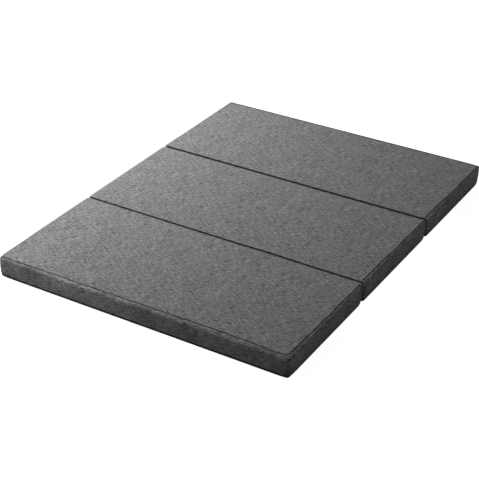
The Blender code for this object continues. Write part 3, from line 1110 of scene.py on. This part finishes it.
def parts_of(tree, output):
    """The X, Y and Z of an output."""
    return node(tree, "ShaderNodeSeparateXYZ", {0: output}).outputs


def ramp(tree, value, start, end, at_start=0.0, at_end=1.0):
    """A number that goes smoothly from one value to another while a place goes on."""
    return node(tree, "ShaderNodeMapRange",
                {"Value": value, "From Min": start, "From Max": end, "To Min": at_start,
                 "To Max": at_end}, interpolation_type="SMOOTHSTEP").outputs["Result"]


def cloth_vector(tree, scale_u, scale_v, shift=0.0):
    """Cloth coordinates in metres, scaled along and across the fabric."""
    places = node(tree, "ShaderNodeUVMap", uv_map="cloth")
    return node(tree, "ShaderNodeMapping",
                {"Vector": places.outputs["UV"], "Scale": (scale_u, scale_v, 1.0),
                 "Location": (shift, shift * 0.7, 0.0)}).outputs["Vector"]


def flecks(tree, scale_u, scale_v, detail, shift=0.0):
    """Noise stretched along or across the fabric."""
    return node(tree, "ShaderNodeTexNoise",
                {"Vector": cloth_vector(tree, scale_u, scale_v, shift), "Scale": 1.0,
                 "Detail": detail, "Roughness": 0.6}, noise_dimensions="2D").outputs["Fac"]


def even_colour(tree, colour):
    """An even colour as a node's output."""
    made = node(tree, "ShaderNodeRGB")
    made.outputs[0].default_value = (*colour, 1.0)
    return made.outputs[0]


def finish_surface(tree, shader, colour, tone, rough, height, strength, depth):
    """Gives a shader its colour times a tone, its roughness and its relief."""
    scaled = node(tree, "ShaderNodeVectorMath", {0: colour, "Scale": tone}, operation="SCALE")
    bump = node(tree, "ShaderNodeBump",
                {"Strength": strength, "Distance": depth, "Height": height})
    set_inputs(tree, shader, {"Base Color": scaled.outputs[0], "Roughness": rough,
                              "Normal": bump.outputs["Normal"]})


# Where painted shade and painted light change the border's colour, in places of the whole mattress
fold_line = half_length + 1.25 * mm
front_line = -3 * half_length - 2.5 * mm
fold_end_run = (half_width - 24 * mm, half_width - 12 * mm)
before_fold_run = (-40 * mm, -24 * mm)
after_fold_run = (-3 * mm, 6 * mm)
right_side_run = (half_width - 30 * mm, half_width - 10 * mm)
low_run = (5 * mm, 75 * mm)
front_run = (front_line + 10 * mm, front_line + 30 * mm)
# Where the painted light on the front is centred and how far it reaches, and where painted shade
# on the front begins
front_painted_light_place = -0.29
front_painted_light_run = (0.06, 0.30)
front_painted_shade_run = (0.0, 0.22)
# Strengths of the painted shade at the folds and low on the right, and of the painted light and
# shade on the front
fold_painted_shade = 0.6
low_painted_shade = 0.5
front_painted_light_gain = 0.42
front_painted_shade_loss = 0.10


def no_painted_light(tree):
    """No painted light or shade over the fabric."""
    return 1.0


def border_painted_light_and_shade(tree):
    """Painted light and shade on the border: painted shade at the folds and low on the right,
    painted light at the left in front.
    """
    x, y, z = parts_of(tree, node(tree, "ShaderNodeTexCoord").outputs["Object"])
    # Painted shade in the creases at the right-hand ends of the folds
    nearest_fold = maths(tree, "MULTIPLY", maths(tree, "SIGN", y, 0.0), fold_line)
    past_fold = maths(tree, "SUBTRACT", y, nearest_fold)
    crease_painted_shade = maths(tree, "MULTIPLY", ramp(tree, past_fold, *before_fold_run),
                   ramp(tree, past_fold, *after_fold_run, 1.0, 0.0))
    crease_painted_shade = maths(tree, "MULTIPLY", ramp(tree, x, *fold_end_run, 0.0, fold_painted_shade), crease_painted_shade)
    # Painted shade low on the right side, darker towards the floor
    low = maths(tree, "MULTIPLY", ramp(tree, x, *right_side_run, 0.0, low_painted_shade),
                ramp(tree, z, *low_run, 1.0, 0.0))
    # Painted light on the front at the left, and painted shade on the front right of the middle
    from_painted_light_patch = maths(tree, "ABSOLUTE", maths(tree, "SUBTRACT", x, front_painted_light_place), 0.0)
    change = maths(tree, "SUBTRACT", ramp(tree, from_painted_light_patch, *front_painted_light_run, front_painted_light_gain, 0.0),
                   ramp(tree, x, *front_painted_shade_run, 0.0, front_painted_shade_loss))
    front = maths(tree, "MULTIPLY", ramp(tree, y, *front_run, 1.0, 0.0), change)
    # The fabric's tone times the painted shade, then raised or lowered by the painted light and
    # shade in front
    loss = maths(tree, "MULTIPLY", maths(tree, "SUBTRACT", 1.0, crease_painted_shade),
                 maths(tree, "SUBTRACT", 1.0, low))
    return maths(tree, "MULTIPLY", loss, maths(tree, "ADD", 1.0, front))


# Flecks with their share of the tone, by count in a metre both ways, detail and shift
yarn_flecks = (((38, 300, 2.0), 0.48), ((190, 140, 1.0, 3.1), 0.22), ((420, 900, 1.0, 7.7), 0.30))
slow_patches = (9, 14, 2.0, 1.3)
darkest_yarn = 0.15
threads = (("X", 200), ("Y", 240))
dot_pitch = 12 * mm
dot_edge = (0.24, 0.17)
dots_face_down = -0.97


def melange(name, colour, contrast, patchy, shade):
    """Grey fabric of mixed light and dark yarns, with streaks along its length."""
    made, tree, shader = new_material(name, {"Specular IOR Level": 0.2, "Sheen Weight": 0.12,
                                             "Sheen Roughness": 0.5})
    mixed = maths(tree, "ADD", *[maths(tree, "MULTIPLY", flecks(tree, *size), share)
                                 for size, share in yarn_flecks])
    centred = maths(tree, "SUBTRACT", mixed, 0.5)
    patches = maths(tree, "SUBTRACT", flecks(tree, *slow_patches), 0.5)
    tone = maths(tree, "ADD", maths(tree, "MULTIPLY", centred, contrast),
                 maths(tree, "MULTIPLY", patches, patchy), 1.0)
    # The tone is multiplied by the fabric's painted light and shade, where it has any
    tone = maths(tree, "MULTIPLY", maths(tree, "MAXIMUM", tone, darkest_yarn), shade(tree))
    rough = maths(tree, "ADD", 0.98, maths(tree, "MULTIPLY", centred, -0.3))
    bands = [node(tree, "ShaderNodeTexWave",
                  {"Vector": cloth_vector(tree, count, count), "Scale": 1.0, "Distortion": 1.2,
                   "Detail": 1.0}, wave_type="BANDS", bands_direction=direction).outputs["Fac"]
             for direction, count in threads]
    weave = maths(tree, "MULTIPLY", *bands)
    relief = maths(tree, "ADD", maths(tree, "MULTIPLY", weave, 0.5), mixed)
    finish_surface(tree, shader, even_colour(tree, colour), tone, rough, relief, 0.5, 0.6 * mm)
    return made


def dotted(name, colour, dot_colour):
    """Dark non-slip fabric with a pattern of small rubber dots."""
    made, tree, shader = new_material(name, {"Specular IOR Level": 0.12})
    cells = node(tree, "ShaderNodeTexVoronoi",
                 {"Vector": cloth_vector(tree, 1 / dot_pitch, 1 / dot_pitch), "Scale": 1.0,
                  "Randomness": 0.0}, voronoi_dimensions="2D", feature="F1")
    facing = parts_of(tree, node(tree, "ShaderNodeTexCoord").outputs["Normal"])["Z"]
    dots = maths(tree, "MULTIPLY", ramp(tree, cells.outputs["Distance"], *dot_edge),
                 maths(tree, "LESS_THAN", facing, dots_face_down))
    grain = flecks(tree, 300, 420, 2.0)
    tone = maths(tree, "ADD", 0.7, maths(tree, "MULTIPLY", grain, 0.6))
    base = node(tree, "ShaderNodeMix", {"A": (*colour, 1.0), "B": (*dot_colour, 1.0),
                                        "Factor": dots}, data_type="RGBA")
    rough = maths(tree, "SUBTRACT", 0.92, maths(tree, "MULTIPLY", dots, 0.4))
    height = maths(tree, "ADD", dots, maths(tree, "MULTIPLY", grain, 0.4))
    finish_surface(tree, shader, base.outputs["Result"], tone, rough, height, 0.8, 0.5 * mm)
    return made


def grained(name, colour, roughness, scale, contrast, metallic=0.0, depth=0.2 * mm,
            specular=0.4):
    """A surface with a grain in object space, for foam, tape, plastic and metal."""
    made, tree, shader = new_material(name, {"Specular IOR Level": specular,
                                             "Metallic": metallic})
    places = node(tree, "ShaderNodeTexCoord").outputs["Object"]
    grain = node(tree, "ShaderNodeTexNoise",
                 {"Vector": places, "Scale": scale, "Detail": 3.0}).outputs["Fac"]
    centred = maths(tree, "SUBTRACT", grain, 0.5)
    tone = maths(tree, "ADD", 1.0, maths(tree, "MULTIPLY", centred, contrast))
    rough = maths(tree, "ADD", roughness, maths(tree, "MULTIPLY", centred, 0.25))
    finish_surface(tree, shader, even_colour(tree, colour), tone, rough, grain, 0.5, depth)
    return made


# The top sheet's fabric has no painted light; the border's fabric carries painted shade and
# painted light
cover_fabric = melange("cover_fabric", (0.176, 0.177, 0.179), 7.7, 0.5, no_painted_light)
border_fabric = melange("border_fabric", (0.165, 0.166, 0.168), 7.2, 1.1, border_painted_light_and_shade)
underside_fabric = dotted("underside_fabric", (0.030, 0.030, 0.032), (0.10, 0.10, 0.105))
tape_fabric = grained("tape_fabric", (0.030, 0.031, 0.033), 0.85, 900, 0.8)
hinge_fabric = grained("hinge_fabric", (0.018, 0.018, 0.019), 0.92, 900, 0.8, specular=0.1)
# Near black: a real seam tape, darkened further to paint the shade in the seams' grooves
seam_tape_painted_shade = grained("seam_tape_painted_shade", (0.006, 0.006, 0.006), 0.95, 700, 0.6, specular=0.03)
chain_nylon = grained("chain_nylon", (0.025, 0.026, 0.028), 0.42, 600, 0.3)
slider_metal = grained("slider_metal", (0.20, 0.205, 0.215), 0.34, 700, 0.25, 1.0, 0.04 * mm)
liner_cloth = grained("liner_cloth", (0.74, 0.74, 0.72), 0.9, 700, 0.15)
support_foam = grained("support_foam", (0.78, 0.76, 0.68), 0.95, 900, 0.35, depth=0.6 * mm)
comfort_foam = grained("comfort_foam", (0.56, 0.66, 0.74), 0.95, 1100, 0.3, depth=0.5 * mm)


# The pieces of a panel

liner_gap = 0.6 * mm
liner_inset = 6.5 * mm
liner_edge = 9 * mm
foam_inset = 7.2 * mm
foam_edge = 5 * mm
foam_to_liner = 0.7 * mm
foam_to_foam = 0.3 * mm
metal_edge = 0.12 * mm


def paint(piece, material):
    """Gives a piece its material."""
    piece.data.materials.clear()
    piece.data.materials.append(material)


def dress(piece, panel, material, stands_for=None):
    """Paints a piece of a panel, lets it ride there and hides the model part it stands for."""
    paint(piece, material)
    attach(piece, f"{panel}_panel")
    if stands_for is not None:
        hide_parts(f"{panel}_{stands_for}")


def panel_cover(panel, relief):
    """The cover of one panel: top sheet, border, flaps beside the zip and underside."""
    top = face_sheet(f"{panel}_top_sheet", panel, rim_rows, edge_height - 2.4 * wall,
                     crown_height, relief[1], True, column_pitch, crown_drop)
    dress(top, panel, cover_fabric, "top_cover")
    zip_run = (outline_length - strip_end, outline_length + strip_end)
    border_run = (border_end, outline_length - border_end)
    past_lip = lip_steps + 3
    for part, replaced, outer, back, run, held_rows, seams in (
            ("border_band", "border", border_rows, border_back, border_run, past_lip,
             seam_heights),
            ("upper_flap", "zip_strip_upper", upper_flap_rows, upper_flap_back, zip_run,
             past_lip, seam_heights[:1]),
            ("lower_flap", "zip_strip_lower", lower_flap_rows, lower_flap_back, zip_run, 0,
             seam_heights[1:])):
        strip = section_strip(f"{panel}_{part}", panel, outer, back, *run, relief, seams,
                              held_rows)
        dress(strip, panel, border_fabric, replaced)
    under = face_sheet(f"{panel}_underside_sheet", panel, underside_rows, 3 * wall, level_sheet,
                       level_sheet, False, 2 * column_pitch, bottom_sag)
    dress(under, panel, underside_fabric, "bottom_cover")


def panel_seams(panel):
    """The dark tapes that lie in the two seams of one panel, near black so that they also paint
    the shade in the seams' grooves.
    """
    for part, rows in (("top_seam_binding", top_binding_rows),
                       ("bottom_seam_binding", bottom_binding_rows)):
        dress(seam_binding(f"{panel}_{part}", panel, rows), panel, seam_tape_painted_shade)


def panel_filling(panel):
    """The foams of one panel in their liner."""
    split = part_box(f"{panel}_base_foam")[1].z
    low = 3 * wall + liner_gap
    high = edge_height - 2.4 * wall - liner_gap
    for part, bottom, top, inset, edge, material, slot, replaced, fill in (
            ("liner_sleeve", low, high, liner_inset, liner_edge, liner_cloth, "liner_fabric",
             "inner_liner", None),
            ("base_block", low + foam_to_liner, split, foam_inset, foam_edge, support_foam,
             "support_foam", "base_foam", 1.0),
            ("comfort_block", split + foam_to_foam, high - foam_to_liner, foam_inset, foam_edge,
             comfort_foam, "comfort_foam", "comfort_foam", 1.0)):
        block = filling_block(f"{panel}_{part}", panel, inset, bottom, top, edge)
        dress(block, panel, material, replaced)


def panel_zip(panel):
    """The tapes, coil, slider and pull of one panel's zip."""
    for part, edge_side in (("zip_tape_upper", -1), ("zip_tape_lower", 1)):
        tape = zip_tape(f"{panel}_{part}_woven", panel, *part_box(f"{panel}_{part}"), edge_side)
        dress(tape, panel, tape_fabric, part)
    teeth = zip_teeth(f"{panel}_zip_coil", *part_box(f"{panel}_zip_chain"))
    dress(teeth, panel, chain_nylon, "zip_chain")
    for part in ("zip_slider", "zip_pull"):
        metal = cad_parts[f"{panel}_{part}"]
        metal.data.materials.clear()
        metal.data.materials.append(slider_metal)
        rounding = metal.modifiers.new("rounding", "BEVEL")
        rounding.width = metal_edge
        rounding.segments = 2
        rounding.limit_method = "ANGLE"
        rounding.angle_limit = math.radians(40)


for panel in panel_names:
    panel_cover(panel, simulate_cover(panel))
    panel_seams(panel)
    panel_filling(panel)
    panel_zip(panel)

for name, first, second in (("near_middle", "middle_panel", "near_panel"),
                            ("middle_far", "far_panel", "middle_panel")):
    low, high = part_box(f"{name}_hinge_tape")
    tape = hinge_tape(f"{name}_hinge_ribbon", low, high)
    paint(tape, hinge_fabric)
    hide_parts(f"{name}_hinge_tape")
    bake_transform(tape)


# The floor, the light and the camera

floor_half = 8.0
floor_grey = 0.22
floor_through = 0.92
floor_veil = 0.45
window_margin = 0.01
window_fade = 0.05
sunk_panel_reach = 1.35
world_strength = 0.205
lamp_size = (3.8, 1.92)
lamp_power = 77.0
lamp_place = (-1.66, -0.06, 0.98)
lamp_lean = 0.70
camera_azimuth = math.radians(30.939)
camera_elevation = math.radians(30.291)
camera_roll = math.radians(0.501)
camera_distance = 6.1804
camera_target = Vector((0.0052, -0.1496, 0.0))
camera_lens = 98.0
sensor_width = 36.0


def grey(value):
    """An even grey as a colour with its opacity."""
    return (value, value, value, 1.0)


def background_rays(tree):
    """1 for the rays that see the floor and the world as a plain background."""
    paths = node(tree, "ShaderNodeLightPath").outputs
    return maths(tree, "MAXIMUM", paths["Is Camera Ray"], paths["Is Glossy Ray"],
                 paths["Is Transmission Ray"])


def floor_window(tree, x, y, reach_x, reach_y):
    """1 inside a rectangle of the floor, with a soft edge inwards."""
    return maths(tree, "MULTIPLY", ramp(tree, x, reach_x - window_fade, reach_x, 1.0, 0.0),
                 ramp(tree, y, reach_y - window_fade, reach_y, 1.0, 0.0))


def mixed_shaders(tree, share, first, second):
    """A mix of two shader nodes."""
    return node(tree, "ShaderNodeMixShader",
                {0: share, 1: first.outputs[0], 2: second.outputs[0]})


def make_floor():
    """A pale floor that looks white to the camera, with a faint shadow round the mattress."""
    corners = [(x * floor_half, y * floor_half, 0.0)
               for x, y in ((-1, -1), (1, -1), (1, 1), (-1, 1))]
    floor = make_object("floor", np.array(corners), [(0, 1, 2, 3)])
    made, tree, pale = new_material("floor_paint", {"Base Color": grey(floor_grey),
                                                    "Roughness": 0.9,
                                                    "Specular IOR Level": 0.0})

    # The camera sees through it inside the outline of the mattress, beside the middle panel,
    # where the near panel hangs lower while only its own fold is folded, and from below
    places = node(tree, "ShaderNodeNewGeometry").outputs
    x, y, z = parts_of(tree, places["Position"])
    x = maths(tree, "ABSOLUTE", x, 0.0)
    y = maths(tree, "ABSOLUTE", y, 0.0)
    inside = floor_window(tree, x, y, half_width - window_margin,
                          3 * half_length - window_margin)
    beside = floor_window(tree, x, y, sunk_panel_reach, 2 * half_length)
    unseen = maths(tree, "MAXIMUM", inside, beside, places["Backfacing"])
    through = node(tree, "ShaderNodeBsdfTransparent", {"Color": grey(floor_through)})
    veil = node(tree, "ShaderNodeBsdfDiffuse", {"Color": grey(floor_veil)})
    outside = node(tree, "ShaderNodeAddShader", {0: through.outputs[0], 1: veil.outputs[0]})
    clear = node(tree, "ShaderNodeBsdfTransparent")
    shown = mixed_shaders(tree, unseen, outside, clear)
    whole = mixed_shaders(tree, background_rays(tree), pale, shown)
    set_inputs(tree, tree.nodes["Material Output"], {"Surface": whole.outputs[0]})
    floor.data.materials.append(made)


def make_world():
    """White where the camera looks and a low soft light everywhere else."""
    world = bpy.data.worlds.new("studio")
    bpy.context.scene.world = world
    world.use_nodes = True
    tree = world.node_tree
    strength = ramp(tree, background_rays(tree), 0.0, 1.0, world_strength, 1.0)
    set_inputs(tree, tree.nodes["Background"], {"Color": grey(1.0), "Strength": strength})


def make_lamp():
    """A wide softbox along the left side that leans over the mattress."""
    data = bpy.data.lights.new("softbox", "AREA")
    data.shape = "RECTANGLE"
    data.size, data.size_y = lamp_size
    data.energy = lamp_power
    lamp = in_scene("softbox", data)
    lamp.location = lamp_place
    direction = Vector((math.cos(lamp_lean), 0.0, -math.sin(lamp_lean)))
    lamp.rotation_euler = direction.to_track_quat("-Z", "Y").to_euler()


def make_camera():
    """The camera at the photograph's place and angle."""
    data = bpy.data.cameras.new("camera")
    data.lens = camera_lens
    data.sensor_width = sensor_width
    camera = in_scene("camera", data)
    level_run = math.cos(camera_elevation)
    back = Vector((math.sin(camera_azimuth) * level_run, -math.cos(camera_azimuth) * level_run,
                   math.sin(camera_elevation)))
    camera.location = camera_target + back * camera_distance
    level_turn = (-back).to_track_quat("-Z", "Y")
    rolled = level_turn @ Quaternion((0.0, 0.0, 1.0), camera_roll)
    camera.rotation_euler = rolled.to_euler()
    bpy.context.scene.camera = camera


make_floor()
make_world()
make_lamp()
make_camera()
bpy.context.scene.view_settings.view_transform = "Standard"
